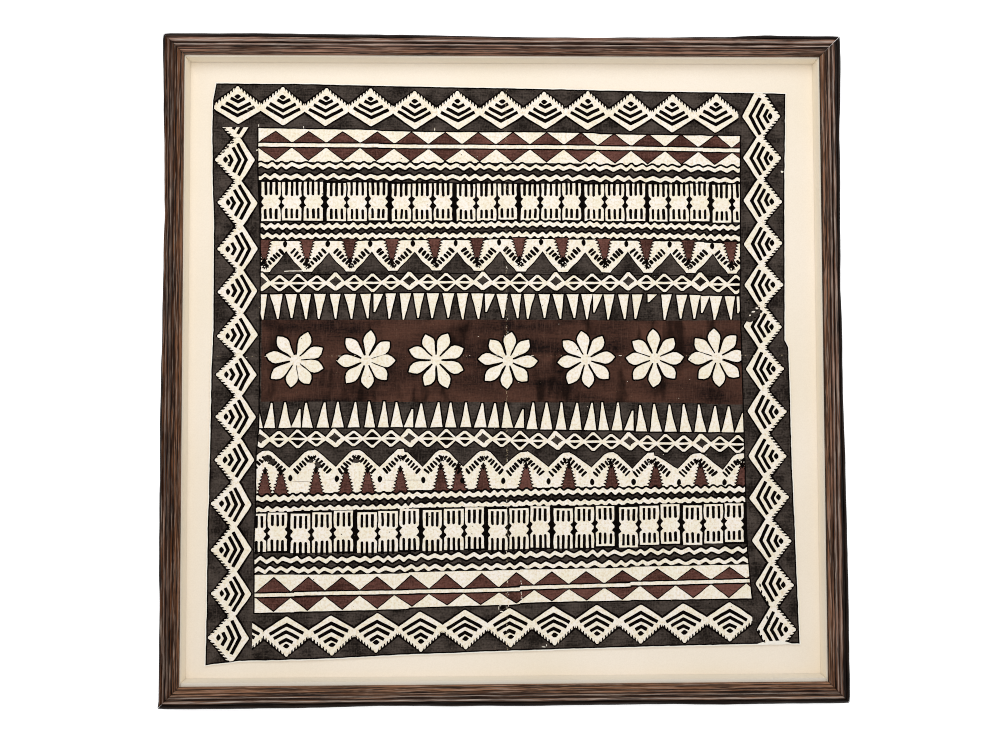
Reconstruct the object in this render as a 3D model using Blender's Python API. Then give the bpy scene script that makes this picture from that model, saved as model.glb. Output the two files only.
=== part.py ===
# A painted bark cloth in a shallow wooden box frame, lying on its back with its face up.
# Metres, +Z up, +X to the right of the cloth's face and +Y to its top.
# The origin is the centre of the backing board's underside.
import math

import bmesh
import bpy

MM = 0.001

# Frame: outside size, the moulding's width and depth, and the step in its back that holds the stack
FRAME_WIDTH = 683 * MM
FRAME_HEIGHT = 670 * MM
RAIL_WIDTH = 20.4 * MM
FRAME_DEPTH = 30 * MM
REBATE_WIDTH = 6.4 * MM
LIP_THICKNESS = 3.2 * MM
LIP_TOP = FRAME_DEPTH - 3.5 * MM
LIP_UNDERSIDE = LIP_TOP - LIP_THICKNESS

# Stack inside the frame, from the back to the lip
FIT_GAP = 0.3 * MM
BACKING_THICKNESS = 3 * MM
BOARD_THICKNESS = 5 * MM
CLOTH_THICKNESS = 1 * MM
BOARD_BASE = BACKING_THICKNESS + FIT_GAP
BOARD_TOP = BOARD_BASE + BOARD_THICKNESS
CLOTH_BASE = BOARD_TOP + FIT_GAP
SPACER_TOP = LIP_UNDERSIDE - FIT_GAP

# How far each cream spacer shows past the edge of the wood
SPACER_SHOWS = {"left": 0.8 * MM, "right": 1.3 * MM, "top": 1.8 * MM, "bottom": 3.2 * MM}

# Face of the moulding from its outer edge in to the lip.
# Each row: (distance in from the outer edge, height below the top of the frame, rise of the arc, steps)
MOULDING = (
    (0.0, 4.4, 0.0, 1),  # square outer side
    (3.6, 1.4, 0.9, 4),  # rounded outer edge
    (4.3, 2.6, 0.0, 1),  # into the first groove
    (5.0, 1.0, 0.0, 1),
    (9.2, 0.9, 0.8, 4),  # wide bead
    (9.9, 2.5, 0.0, 1),  # into the second groove
    (10.7, 1.5, 0.0, 1),
    (13.9, 1.6, 0.6, 3),  # narrow bead
    (14.6, 2.2, 0.0, 1),  # shallow third groove
    (15.4, 1.8, 0.0, 1),
    (19.6, 3.0, 0.2, 2),  # slope down to the lip
    (20.4, 3.5, 0.0, 1),
)

# The cloth's cut edge, as uneven as the real one, in millimetres from the centre.
# Upright sides: (height, place of the edge). Level sides: (place along, height of the edge).
CLOTH_LEFT = (
    (-297, -300), (-246, -299), (-153, -298.5), (-133, -297.5), (-53, -296.5),
    (-2, -296), (38, -294.5), (150, -294.5), (181, -296), (243, -297), (273, -296.5), (291, -294),
)
CLOTH_RIGHT = (
    (-280, 299), (-187, 295), (-98, 292), (-23, 291), (20, 290),
    (27, 286.5), (120, 287.5), (200, 288.5), (282.5, 290.5),
)
CLOTH_BOTTOM = (
    (-300, -297), (-266, -293), (-171, -291), (-106, -288), (-5, -285),
    (55, -283.5), (151, -281.5), (238, -280), (288, -279.5), (299, -280),
)
CLOTH_TOP = (
    (-294, 291), (-208, 290.5), (-106, 288.5), (-3.5, 287), (99, 285), (202, 283.5), (290.5, 282.5),
)
GRID_STEPS = 18

# Low waves of the beaten bark: (height, wave along X, wave along Y, phase), lengths in millimetres
WAVES = (
    (0.30, 210.0, 340.0, 0.6),
    (0.22, -150.0, 120.0, 2.1),
    (0.15, 95.0, -260.0, 4.0),
)
# Creases of the old fold into quarters: (axis that it crosses, place, ridge height, half width)
CREASES = (
    ("x", 2.5, 0.5, 6.0),
    ("y", 11.5, 0.4, 6.0),
)

# Finishes: name: (red, green, blue), roughness
FINISHES = {
    "stained_wood": ((0.045, 0.022, 0.014), 0.55),
    "cream_card": ((0.86, 0.77, 0.62), 0.85),
    "bark_cloth": ((0.22, 0.17, 0.13), 0.9),
    "brown_hardboard": ((0.27, 0.16, 0.08), 0.75),
}


def clear_scene():
    for old in list(bpy.data.objects):
        bpy.data.objects.remove(old, do_unlink=True)


def finish(name):
    made = bpy.data.materials.get(name)
    if made is None:
        colour, roughness = FINISHES[name]
        made = bpy.data.materials.new(name)
        made.use_nodes = True
        shader = made.node_tree.nodes["Principled BSDF"]
        shader.inputs["Base Color"].default_value = (*colour, 1.0)
        shader.inputs["Roughness"].default_value = roughness
        shader.inputs["Metallic"].default_value = 0.0
        made.diffuse_color = (*colour, 1.0)
    return made


def add_object(name, bm, finish_name):
    """Turn a bmesh into a named object with its faces pointing out."""
    bmesh.ops.recalc_face_normals(bm, faces=bm.faces[:])
    mesh = bpy.data.meshes.new(name)
    bm.to_mesh(mesh)
    bm.free()
    mesh.materials.append(finish(finish_name))
    piece = bpy.data.objects.new(name, mesh)
    bpy.context.collection.objects.link(piece)
    return piece


def slab(name, low, high, finish_name):
    """A flat rectangular sheet between two corners."""
    bm = bmesh.new()
    bmesh.ops.create_cube(bm, size=1.0)
    for v in bm.verts:
        for axis in range(3):
            v.co[axis] = high[axis] if v.co[axis] > 0 else low[axis]
    return add_object(name, bm, finish_name)


def moulding_outline():
    """The rail's cross-section: points of (distance in from the outer edge, height), once round."""
    points = [(0.0, 0.0)]
    start = None
    for inset, drop, rise, steps in MOULDING:
        end = (inset * MM, FRAME_DEPTH - drop * MM)
        if start is None:
            points.append(end)
        else:
            for i in range(1, steps + 1):
                t = i / steps
                bow = 4 * rise * MM * t * (1 - t)
                inward = start[0] + (end[0] - start[0]) * t
                height = start[1] + (end[1] - start[1]) * t + bow
                points.append((inward, height))
        start = end
    wall = RAIL_WIDTH - REBATE_WIDTH
    points += [(RAIL_WIDTH, LIP_UNDERSIDE), (wall, LIP_UNDERSIDE), (wall, 0.0)]
    return points


def rail(name, length, to_side, turn):
    """A mitred rail, made lying along X with its outer edge at -Y, then turned to its side."""
    bm = bmesh.new()
    mitre_gap = FIT_GAP / 2 * math.sqrt(2)
    ends = []
    for direction in (-1, 1):
        ring = []
        for inset, height in moulding_outline():
            along = direction * (length / 2 - inset - mitre_gap)
            across = -to_side + inset
            ring.append(bm.verts.new((along, across, height)))
        ends.append(ring)
        bm.faces.new(ring)
    count = len(ends[0])
    for i in range(count):
        j = (i + 1) % count
        bm.faces.new((ends[0][i], ends[0][j], ends[1][j], ends[1][i]))
    cos, sin = round(math.cos(turn)), round(math.sin(turn))
    for v in bm.verts:
        x, y = v.co.x, v.co.y
        v.co.x = x * cos - y * sin
        v.co.y = x * sin + y * cos
    return add_object(name, bm, "stained_wood")


def make_frame():
    half_turn = math.pi / 2
    rail("frame_rail_bottom", FRAME_WIDTH, FRAME_HEIGHT / 2, 0)
    rail("frame_rail_right", FRAME_HEIGHT, FRAME_WIDTH / 2, half_turn)
    rail("frame_rail_top", FRAME_WIDTH, FRAME_HEIGHT / 2, 2 * half_turn)
    rail("frame_rail_left", FRAME_HEIGHT, FRAME_WIDTH / 2, 3 * half_turn)


def make_sheets():
    """Backing board and mount board, held in the rebate of the rails."""
    x = FRAME_WIDTH / 2 - RAIL_WIDTH + REBATE_WIDTH - FIT_GAP
    y = FRAME_HEIGHT / 2 - RAIL_WIDTH + REBATE_WIDTH - FIT_GAP
    slab("backing_board", (-x, -y, 0.0), (x, y, BACKING_THICKNESS), "brown_hardboard")
    slab("mount_board", (-x, -y, BOARD_BASE), (x, y, BOARD_TOP), "cream_card")


def make_spacers():
    """Cream strips between the board and the lip, the walls of the box. The upright ones run the full height."""
    wall_x = FRAME_WIDTH / 2 - RAIL_WIDTH + REBATE_WIDTH - FIT_GAP
    wall_y = FRAME_HEIGHT / 2 - RAIL_WIDTH + REBATE_WIDTH - FIT_GAP
    sight_x = FRAME_WIDTH / 2 - RAIL_WIDTH
    sight_y = FRAME_HEIGHT / 2 - RAIL_WIDTH
    base, top = BOARD_TOP + FIT_GAP, SPACER_TOP
    left = -sight_x + SPACER_SHOWS["left"]
    right = sight_x - SPACER_SHOWS["right"]
    upper = sight_y - SPACER_SHOWS["top"]
    lower = -sight_y + SPACER_SHOWS["bottom"]
    slab("spacer_left", (-wall_x, -wall_y, base), (left, wall_y, top), "cream_card")
    slab("spacer_right", (right, -wall_y, base), (wall_x, wall_y, top), "cream_card")
    between = (left + FIT_GAP, right - FIT_GAP)
    slab("spacer_top", (between[0], upper, base), (between[1], wall_y, top), "cream_card")
    slab("spacer_bottom", (between[0], -wall_y, base), (between[1], lower, top), "cream_card")


def read_edge(edge, at):
    """Place of the cut edge at a distance along it, between the rows of its table."""
    for (a, value_a), (b, value_b) in zip(edge, edge[1:]):
        if at <= b:
            return value_a + (value_b - value_a) * (at - a) / (b - a)
    return edge[-1][1]


def cloth_point(u, v):
    """A point of the flat cloth in millimetres, for shares u across and v up, inside its four edges."""
    (left_low, left_high) = (CLOTH_LEFT[0][0], CLOTH_LEFT[-1][0])
    (right_low, right_high) = (CLOTH_RIGHT[0][0], CLOTH_RIGHT[-1][0])
    (bottom_start, bottom_end) = (CLOTH_BOTTOM[0][0], CLOTH_BOTTOM[-1][0])
    (top_start, top_end) = (CLOTH_TOP[0][0], CLOTH_TOP[-1][0])
    y_left = left_low + (left_high - left_low) * v
    y_right = right_low + (right_high - right_low) * v
    x_bottom = bottom_start + (bottom_end - bottom_start) * u
    x_top = top_start + (top_end - top_start) * u
    left = (read_edge(CLOTH_LEFT, y_left), y_left)
    right = (read_edge(CLOTH_RIGHT, y_right), y_right)
    bottom = (x_bottom, read_edge(CLOTH_BOTTOM, x_bottom))
    top = (x_top, read_edge(CLOTH_TOP, x_top))
    corners = (
        (bottom_start, left_low), (bottom_end, right_low), (top_start, left_high), (top_end, right_high),
    )
    weights = ((1 - u) * (1 - v), u * (1 - v), (1 - u) * v, u * v)
    point = []
    for axis in (0, 1):
        sides = (1 - v) * bottom[axis] + v * top[axis] + (1 - u) * left[axis] + u * right[axis]
        shared = sum(w * c[axis] for w, c in zip(weights, corners))
        point.append(sides - shared)
    return point


def lift(x, y):
    """Height of the cloth's underside above its lowest place, in millimetres."""
    height = 0.0
    for size, wave_x, wave_y, phase in WAVES:
        turn = 2 * math.pi * (x / wave_x + y / wave_y) + phase
        height += size * (1 + math.sin(turn)) / 2
    for axis, place, ridge, half_width in CREASES:
        distance = abs((x if axis == "x" else y) - place)
        height += ridge * max(0.0, 1 - distance / half_width)
    return height


def stations(edge_start, edge_end, axis):
    """Even steps across the cloth, with three more lines at the crease that crosses this axis."""
    shares = {i / GRID_STEPS for i in range(GRID_STEPS + 1)}
    for crossed, place, _, half_width in CREASES:
        if crossed == axis:
            for offset in (-half_width, 0.0, half_width):
                shares.add((place + offset - edge_start) / (edge_end - edge_start))
    shares = sorted(shares)
    close = 0.25 / GRID_STEPS
    kept = [shares[0]]
    for share in shares[1:]:
        if share - kept[-1] > close or share == 1.0:
            kept.append(share)
    return kept


def make_cloth():
    across = stations(CLOTH_BOTTOM[0][0], CLOTH_BOTTOM[-1][0], "x")
    up = stations(CLOTH_LEFT[0][0], CLOTH_LEFT[-1][0], "y")
    bm = bmesh.new()
    layers = []
    for offset in (0.0, CLOTH_THICKNESS):
        rows = []
        for v in up:
            row = []
            for u in across:
                x, y = cloth_point(u, v)
                z = CLOTH_BASE + lift(x, y) * MM + offset
                row.append(bm.verts.new((x * MM, y * MM, z)))
            rows.append(row)
        layers.append(rows)
    wide, tall = len(across), len(up)
    for rows in layers:
        for j in range(tall - 1):
            for i in range(wide - 1):
                bm.faces.new((rows[j][i], rows[j][i + 1], rows[j + 1][i + 1], rows[j + 1][i]))
    rim = [(0, i) for i in range(wide)]
    rim += [(j, wide - 1) for j in range(1, tall)]
    rim += [(tall - 1, i) for i in range(wide - 2, -1, -1)]
    rim += [(j, 0) for j in range(tall - 2, 0, -1)]
    under, upper = layers
    for (j, i), (k, m) in zip(rim, rim[1:] + rim[:1]):
        bm.faces.new((under[j][i], under[k][m], upper[k][m], upper[j][i]))
    add_object("tapa_cloth", bm, "bark_cloth")


def main():
    clear_scene()
    make_frame()
    make_sheets()
    make_spacers()
    make_cloth()


main()
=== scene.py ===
# A painted tapa bark cloth laid on cream board in a shallow wooden box frame, which lies on its back.
# Meshes are in metres, the tables of the painting in millimetres. +X is the right of the face, +Y its top.
import math
import random

import bpy
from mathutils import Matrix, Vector, geometry, noise


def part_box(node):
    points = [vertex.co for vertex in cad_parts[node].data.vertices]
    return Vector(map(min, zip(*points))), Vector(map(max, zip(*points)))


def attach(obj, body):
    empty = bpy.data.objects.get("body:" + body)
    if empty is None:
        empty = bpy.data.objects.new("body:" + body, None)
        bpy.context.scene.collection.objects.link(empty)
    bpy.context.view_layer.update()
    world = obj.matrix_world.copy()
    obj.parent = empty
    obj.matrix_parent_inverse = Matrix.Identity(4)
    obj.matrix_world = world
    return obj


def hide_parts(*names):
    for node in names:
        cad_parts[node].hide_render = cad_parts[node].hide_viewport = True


MM = 0.001
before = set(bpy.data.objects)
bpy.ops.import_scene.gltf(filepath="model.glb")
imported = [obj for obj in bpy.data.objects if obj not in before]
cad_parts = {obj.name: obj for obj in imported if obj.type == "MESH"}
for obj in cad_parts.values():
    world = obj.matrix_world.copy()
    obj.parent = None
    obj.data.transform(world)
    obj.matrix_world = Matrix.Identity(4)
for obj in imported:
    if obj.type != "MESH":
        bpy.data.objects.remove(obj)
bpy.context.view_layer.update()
BODY = "root"

# The cloth's place in the box, as the CAD has it
CLOTH_BASE = 8.6
CLOTH_THICKNESS = 1.0
PAINT_LIFT = 0.05

# The cloth's uneven outline: (distance along the side, place across it)
CLOTH_LEFT = (
    (-297, -301), (-246, -300), (-153, -299.5), (-133, -298.5), (-53, -297.5), (-2, -297), (38, -295.5), (150, -295.5),
    (181, -297), (243, -298), (273, -297.5), (291, -295),
)
CLOTH_RIGHT = (
    (-280, 300.2), (-187, 296.2), (-98, 293.2), (-23, 292.2), (20, 291.2), (27, 287.7), (120, 288.7), (200, 289.7),
    (282.5, 291.7),
)
CLOTH_BOTTOM = (
    (-301, -298.8), (-266, -294.8), (-171, -292.8), (-106, -289.8), (-5, -286.8), (55, -285.3), (151, -283.3),
    (238, -281.8), (288, -281.3), (299, -281.8),
)
CLOTH_TOP = ((-294, 291.4), (-208, 290.9), (-106, 288.9), (-3.5, 287.4), (99, 285.4), (202, 283.9), (290.5, 282.9))
# Low waves of the sheet: (height, length across, length up, start), and the places of its two old folds
WAVES = ((0.30, 210.0, 340.0, 0.6), (0.22, -150.0, 120.0, 2.1), (0.15, 95.0, -260.0, 4.0))
FOLD_X = 2.2
FOLD_Y = 11.5
# Where one print of a stencil meets the next, in the upper and the lower bands
JOINTS = (-128.0, -15.0, 95.0, 205.0)
LOW_JOINTS = (-212.0, -97.0, 15.0, 127.0)

# The painted field inside the border: (height, place of its side)
FIELD_LEFT = (
    (-248, -251.3), (-173, -251.7), (-143, -250.5), (-88, -250), (-63, -247.8), (-35, -247.3),
    (58, -246.8), (109, -247), (150, -247.5), (190, -249.6), (212, -250), (246, -250.5),
)
FIELD_RIGHT = (
    (-236, 249.8), (-201, 246.7), (-176, 244.9), (-136, 244.6), (-85, 243.6), (-49, 243),
    (7, 241.9), (78, 240.6), (99, 241.9), (150, 242.1), (241, 243.1),
)

# Heights of the bands of the field in the middle of each of the five prints, from left to right
LEVELS = {
    "field_top": (243.5, 240.8, 240.7, 238.3, 237.6),
    "leaf_up_tip": (241.9, 241.4, 241.5, 240.0, 239.5),
    "leaf_line": (227.1, 226.0, 225.8, 224.3, 222.8),
    "leaf_down_tip": (211.0, 210.1, 209.9, 207.9, 207.0),
    "leaf_end": (209.7, 209.1, 209.0, 207.2, 205.9),
    "zigzag_a": (205.7, 205.3, 204.6, 204.1, 203.0),
    "zigzag_b": (194.5, 194.4, 193.9, 192.6, 191.5),
    "comb_top": (189.1, 187.7, 187.6, 187.6, 187.5),
    "comb_star": (168.8, 168.3, 168.8, 168.7, 167.3),
    "comb_end": (149.7, 149.5, 150.7, 149.3, 148.6),
    "ripple_a": (143.8, 144.8, 146.1, 144.3, 142.7),
    "ripple_b": (133.8, 134.1, 135.1, 134.0, 132.5),
    "arc_top": (128.7, 129.5, 130.8, 128.7, 126.6),
    "arc_peak": (116.1, 115.8, 116.4, 115.4, 113.8),
    "arc_end": (97.5, 98.8, 97.3, 96.4, 95.5),
    "chain": (85.8, 86.7, 85.8, 86.0, 84.3),
    "spike_top": (74.5, 75.3, 74.3, 74.0, 72.1),
    "spike_tip": (49.1, 49.1, 49.2, 48.2, 48.2),
    "ground_top": (48.3, 48.2, 48.1, 47.1, 47.3),
    "ground_end": (-34.6, -35.1, -36.0, -36.3, -38.5),
    "thorn_tip": (-34.6, -35.0, -35.8, -36.2, -38.8),
    "thorn_base": (-61.0, -60.6, -60.8, -63.9, -66.3),
    "low_chain": (-72.5, -71.9, -72.5, -75.6, -78.4),
    "arch_top": (-83.6, -83.3, -83.9, -87.1, -88.1),
    "arch_valley": (-101.8, -100.6, -100.9, -102.1, -104.6),
    "arch_dot": (-112.1, -113.3, -115.4, -117.1, -118.0),
    "arch_end": (-127.8, -126.4, -123.4, -122.2, -122.1),
    "low_ripple_a": (-132.1, -131.0, -128.9, -126.6, -125.4),
    "low_ripple_b": (-143.3, -142.1, -139.6, -137.7, -136.0),
    "low_comb_top": (-146.8, -145.2, -142.7, -141.8, -140.0),
    "low_comb_star": (-167.6, -167.6, -165.3, -162.5, -160.8),
    "low_comb_end": (-185.3, -186.0, -183.7, -182.8, -179.7),
    "low_zigzag_a": (-193.5, -193.7, -190.9, -189.2, -187.0),
    "low_zigzag_b": (-203.4, -204.0, -201.7, -200.3, -197.8),
    "low_leaf_top": (-208.3, -208.7, -205.8, -204.3, -201.8),
    "low_leaf_line": (-228.6, -227.0, -225.7, -221.9, -218.6),
    "low_leaf_end": (-245.9, -244.5, -240.7, -236.8, -235.5),
}

# Combs: half the width, the spacing, and the first one's place in its group of three
COMB_HALF = 9.6
COMB_SPACING = 21.35
FIRST_COMB = 11.6

# How a painted edge wavers with the slips of the knife: (reach, wavelength, place in the noise)
WAVER = ((0.34, 8.0, 3.0), (0.17, 2.4, 9.0))
# The longest side that is cut from a painted edge, and the grids of the cloth's upper face and of its underside
LONGEST_SIDE = 2.9
FACE_GRID = 5.0
UNDER_GRID = 15.0

# The bare bark and the dyes on it, and all that is painted, as (dye, outline) with the later ones on top
NATURAL, CHARCOAL, INK, BROWN, GROUND, FRAYED = range(6)
painting = []
chance = random.Random(11)
# Without a seed of its own, noise_vector differs from run to run
noise.seed_set(11)


def level(name, x):
    """Height of a band at a place across, between its heights, with a small step where one print meets the next."""
    joints = LOW_JOINTS if name.startswith(("low", "arch", "thorn")) else JOINTS
    ends = (-250.0, *joints, 245.0)
    middles = [(a + b) / 2 for a, b in zip(ends, ends[1:])]
    own = middles[sum(x > j for j in joints)]
    place = own + 0.65 * (x - own)
    i = min(max(sum(place > m for m in middles) - 1, 0), 3)
    t = (place - middles[i]) / (middles[i + 1] - middles[i])
    return LEVELS[name][i] * (1 - t) + LEVELS[name][i + 1] * t


def read_edge(edge, at):
    """Place of an edge at a distance along it, between the rows of its table."""
    if at <= edge[0][0]:
        return edge[0][1]
    for (a, value_a), (b, value_b) in zip(edge, edge[1:]):
        if at <= b:
            return value_a + (value_b - value_a) * (at - a) / (b - a)
    return edge[-1][1]


def spread(count, first, last, bulge=0.0):
    """Places of a row's motifs: even, but for the slight bulge of a row laid by hand."""
    steps = [i / (count - 1) for i in range(count)]
    return [first + (last - first) * t + 4 * bulge * t * (1 - t) for t in steps]


def near(size):
    """A small slip of the hand, at most this many millimetres either way."""
    return chance.uniform(-size, size)


def signed_area(corners):
    total = 0.0
    for (ax, ay), (bx, by) in zip(corners, corners[1:] + corners[:1]):
        total += ax * by - bx * ay
    return total / 2


def swell(corners, by):
    """The outline moved outward by a distance, or inward by a negative one."""
    turn = 1 if signed_area(corners) > 0 else -1
    moved = []
    for i, (x, y) in enumerate(corners):
        before = Vector(corners[i - 1])
        after = Vector(corners[(i + 1) % len(corners)])
        here = Vector((x, y))
        first, second = (here - before), (after - here)
        if first.length < 1e-6 or second.length < 1e-6:
            continue
        first.normalize()
        second.normalize()
        away = Vector((first.y + second.y, -first.x - second.x))
        if away.length < 1e-6:
            continue
        away.normalize()
        reach = max(0.5, away.dot(Vector((first.y, -first.x))))
        here += away * (turn * by / reach)
        moved.append((here.x, here.y))
    return moved


def round_off(corners, size):
    """The outline with every corner cut off, this far along both of its sides, as a brush or a stencil leaves it."""
    cut = []
    for i, corner in enumerate(corners):
        here = Vector(corner)
        for other in (corners[i - 1], corners[(i + 1) % len(corners)]):
            side = Vector(other) - here
            if side.length > 1e-6:
                point = here + side.normalized() * min(size, side.length * 0.4)
                cut.append((point.x, point.y))
    return cut


def paint(dye, *outlines, rim=0.0):
    """Add outlines to the painting, over what is there. A rim is the dark line round each of them."""
    if rim:
        for outline in outlines:
            painting.append((INK, swell(outline, rim)))
    for outline in outlines:
        painting.append((dye, outline))


def strip(upper, lower, start, end):
    """The outline between two edges. Each edge is a band's name and how far above its height the edge runs."""
    count = round((end - start) / 8)
    across = [start + (end - start) * i / count for i in range(count + 1)]
    across += [j + side for j in JOINTS + LOW_JOINTS if start < j < end for side in (-0.1, 0.1)]
    across.sort()
    bottom, top = ([(x, level(name, x) + above) for x in across] for name, above in (lower, upper))
    return bottom + top[::-1]


def turned(corners, x, y, angle):
    """A shape drawn about its own middle, turned by an angle in degrees and set down at a place."""
    c, s = math.cos(math.radians(angle)), math.sin(math.radians(angle))
    return [(x + u * c - v * s, y + u * s + v * c) for u, v in corners]


def slanted_bar(x, y, angle, length, width):
    """A short stroke of the brush."""
    a, b = length / 2, width / 2
    box = [(-a, -b * 0.8), (0, -b), (a, -b * 0.9), (a, b * 0.9), (0, b), (-a, b * 0.8)]
    return round_off([(u + near(0.25), v + near(0.25)) for u, v in turned(box, x, y, angle)], 0.5)


def cloth_outline():
    corners = list(CLOTH_BOTTOM)
    corners += [(x, y) for y, x in CLOTH_RIGHT[1:]]
    corners += reversed(CLOTH_TOP[:-1])
    corners += [(x, y) for y, x in reversed(CLOTH_LEFT[1:-1])]
    return corners


# Border of notched diamonds. Each side: its diamonds' places along it with that of their necks across it, then the
# reach of their outer and inner tips from the necks
BORDER = {
    "bottom": ((
        (-219.5, -268.9), (-174.6, -268.1), (-129.2, -266.2), (-85.3, -265.3), (-40.2, -263.0), (4.8, -261.7),
        (49.3, -260.2), (92.7, -259.1), (137.1, -258.9), (180.6, -258.7), (227.3, -257.7),
    ), 20.5, 18.6),
    "left": ((
        (-271.1, -276.3), (-227.1, -273.4), (-183.1, -274.1), (-137.4, -273.8), (-93.2, -271.0), (-49.9, -270.4),
        (-7.0, -270.1), (32.7, -269.0), (77.4, -269.1), (120.6, -269.1), (167.7, -270.0), (211.8, -273.0),
    ), 21.3, 18.6),
    "top": ((
        (-271.4, 267.7), (-225.6, 266.3), (-181.8, 266.0), (-135.9, 265.8), (-90.9, 262.7), (-46.9, 262.9),
        (-2.1, 263.2), (42.2, 262.8), (86.2, 262.9), (130.4, 260.9), (173.7, 259.9), (218.6, 260.3),
    ), 20.3, 18.6),
    "right": ((
        (-266.6, 273.9), (-221.2, 272.9), (-177.2, 270.7), (-133.5, 268.2), (-91.3, 267.0), (-45.9, 266.9),
        (-2.5, 265.4), (41.0, 263.8), (83.6, 265.1), (126.3, 265.4), (170.3, 265.4), (214.9, 265.3), (258.1, 264.9),
    ), 20.4, 18.8),
}


def border_place(side, along, out):
    """A point of the border: a distance along its side, and out from the line of the necks."""
    out = read_edge(BORDER[side][0], along) + (out if side in ("top", "right") else -out)
    return (along, out) if side in ("top", "bottom") else (out, along)


def notched_side(foot, tip, fingers):
    """The outer side of a diamond from its neck to its tip: blunt fingers that point straight out."""
    (u, v), (end_u, end_v) = foot, tip
    step_u, step_v = (end_u - u) / fingers, (end_v - v) / fingers
    points = []
    for _ in range(fingers):
        reach, wide = 2.5 + near(0.35), 0.53 + near(0.05)
        for share, out in ((0, 0), (0.02, 0.62), (0.18, 1), (wide * 0.75, 1), (wide, 0.62), (wide, 0)):
            points.append((u + step_u * share, v + step_v * share + reach * out))
        u, v = u + step_u, v + step_v
    return points


def border_diamond(side, low, centre, high):
    """Outline, dark backing and dark strokes of one diamond between its two necks."""
    _, outer, inner = BORDER[side]
    outer, inner = outer + near(0.5), inner + near(0.5)
    lean = near(0.7)
    tip = centre + lean
    outline = notched_side((low, 0.4), (tip - 1.9, outer - 3.2), 7)
    outline += [(tip - 1.9, outer - 1.4), (tip - 0.9, outer), (tip + 0.9, outer), (tip + 1.9, outer - 1.4)]
    outline += notched_side((high, 0.4), (tip + 1.9, outer - 3.2), 7)[::-1]
    outline += [
        (high + 0.9, 0.0), (high + 0.9, -3.5 + near(0.3)), (high - 1.6, -5.6 + near(0.3)),
        (centre - lean + 0.8, -inner), (centre - lean - 0.8, -inner),
        (low + 1.6, -5.6 + near(0.3)), (low - 0.9, -3.5 + near(0.3)), (low - 0.9, 0.0),
    ]
    backing = [
        (low - 1, 4.6), (tip, outer + 2.0), (high + 1, 4.6), (high + 1, -5.2), (high - 0.8, -7.8),
        (centre - lean, -inner - 2.1), (low + 0.8, -7.8), (low - 1, -5.2),
    ]
    dot = ((-3.7, 0), (-1.1, 2.2), (1.1, 2.2), (3.7, 0), (0.9, -2.5), (-0.9, -2.5))
    marks = [round_off([(tip + dx + near(0.2), outer - 10.3 + dy + near(0.2)) for dx, dy in dot], 0.4)]
    thick = 3.9
    for foot, reach in ((1.8, 7.4), (-5.8, 13.4), (-12.6, 17.8)):
        foot, middle = foot + near(0.4), centre + near(0.4) - lean * 0.5
        mark = [(middle, foot)]
        for turn in (1, -1):
            far = reach * (high - low) / 44.4 + near(0.8)
            rise = 0.54 + near(0.03)
            wing = [
                (middle + turn * far, foot + rise * far),
                (middle + turn * (far - 1.5), foot + rise * (far - 1.5) + thick),
                (middle + turn * far * 0.5, foot + rise * far * 0.5 + thick + near(0.3)),
            ]
            mark += wing if turn > 0 else [(middle, foot + thick)] + wing[::-1]
        marks.append(round_off(mark, 0.45))
    lay = lambda points: [border_place(side, u, v) for u, v in points]
    return lay(outline), lay(backing), [lay(m) for m in marks]


def paint_diamonds(made):
    for _, backing, _ in made:
        paint(INK, backing)
    for outline, _, _ in made:
        paint(NATURAL, outline)
    for _, _, marks in made:
        paint(INK, *marks)


def border_row(side, end=None):
    """Paint one side's row of diamonds. end gives the last neck where the row is cut."""
    centres = [along for along, _ in BORDER[side][0]]
    necks = [(a + b) / 2 for a, b in zip(centres, centres[1:])]
    necks = [centres[0] * 2 - necks[0], *necks, end or centres[-1] * 2 - necks[-1]]
    paint_diamonds([border_diamond(side, a, c, b) for a, c, b in zip(necks, centres, necks[1:])])


def cut_diamond(side, centre, half):
    """One more diamond of a row, of which the next row leaves only a corner showing."""
    paint_diamonds([border_diamond(side, centre - half, centre, centre + half)])


def paint_border():
    far = 320
    # The rows were printed one over the next: bottom, left, top, right
    cut_diamond("bottom", -263.5, 22.0)
    paint(CHARCOAL, [(-far, -far), (-254.0, -far), (-253.6, -248), (-far, -248)])
    border_row("bottom", end=249.3)
    cut_diamond("left", 255.0, 21.7)
    paint(CHARCOAL, [(-far, 245.6), (-248, 245.2), (-248, far), (-far, far)])
    border_row("left")
    border_row("top", end=241.0)
    border_row("right", end=285.0)


def leaf_band(places, half, right, field, line, gap, tips, line_foot):
    """Brown leaves in two rows, base to base, and a cream line between them. field and tips give bands, each with how
    far above its height an edge runs, line the band that the leaves stand on, gap their distance from it."""
    left = -256.0
    paint(NATURAL, strip(*field, left, right), rim=0.9)
    for (tip, above), away in zip(tips, (gap, -gap)):
        for x in places:
            foot_a, foot_b = x - half - 0.3 + near(0.4), x + half + 0.3 + near(0.4)
            point = x + near(0.8)
            outline = [(foot, level(line, foot) + away) for foot in (foot_a, foot_b)]
            outline.append((point, level(tip, x) + above + near(0.3)))
            paint(INK, outline)
            paint(BROWN, swell(outline, -1.25))
    paint(NATURAL, strip((line, 1.8), (line, line_foot), left, right), rim=1.4)


def waving_line(name, thickness, waves, swing):
    """A cream line that zigzags or ripples across the field, in waves of one length or of a few by turns."""
    x, side = -256.0 + near(3), 1
    upper, lower = [], []
    while x < 254:
        sway = side * swing * chance.uniform(0.7, 1.25)
        thick = thickness / 2 + near(0.25)
        upper.append((x + near(0.5), level(name, x) + thick + sway))
        lower.append((x + near(0.5), level(name, x) - thick + sway))
        x += chance.choice(waves) / 2 * chance.uniform(0.85, 1.15)
        side = -side
    paint(NATURAL, round_off(lower + upper[::-1], 0.8), rim=1.9)


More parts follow.
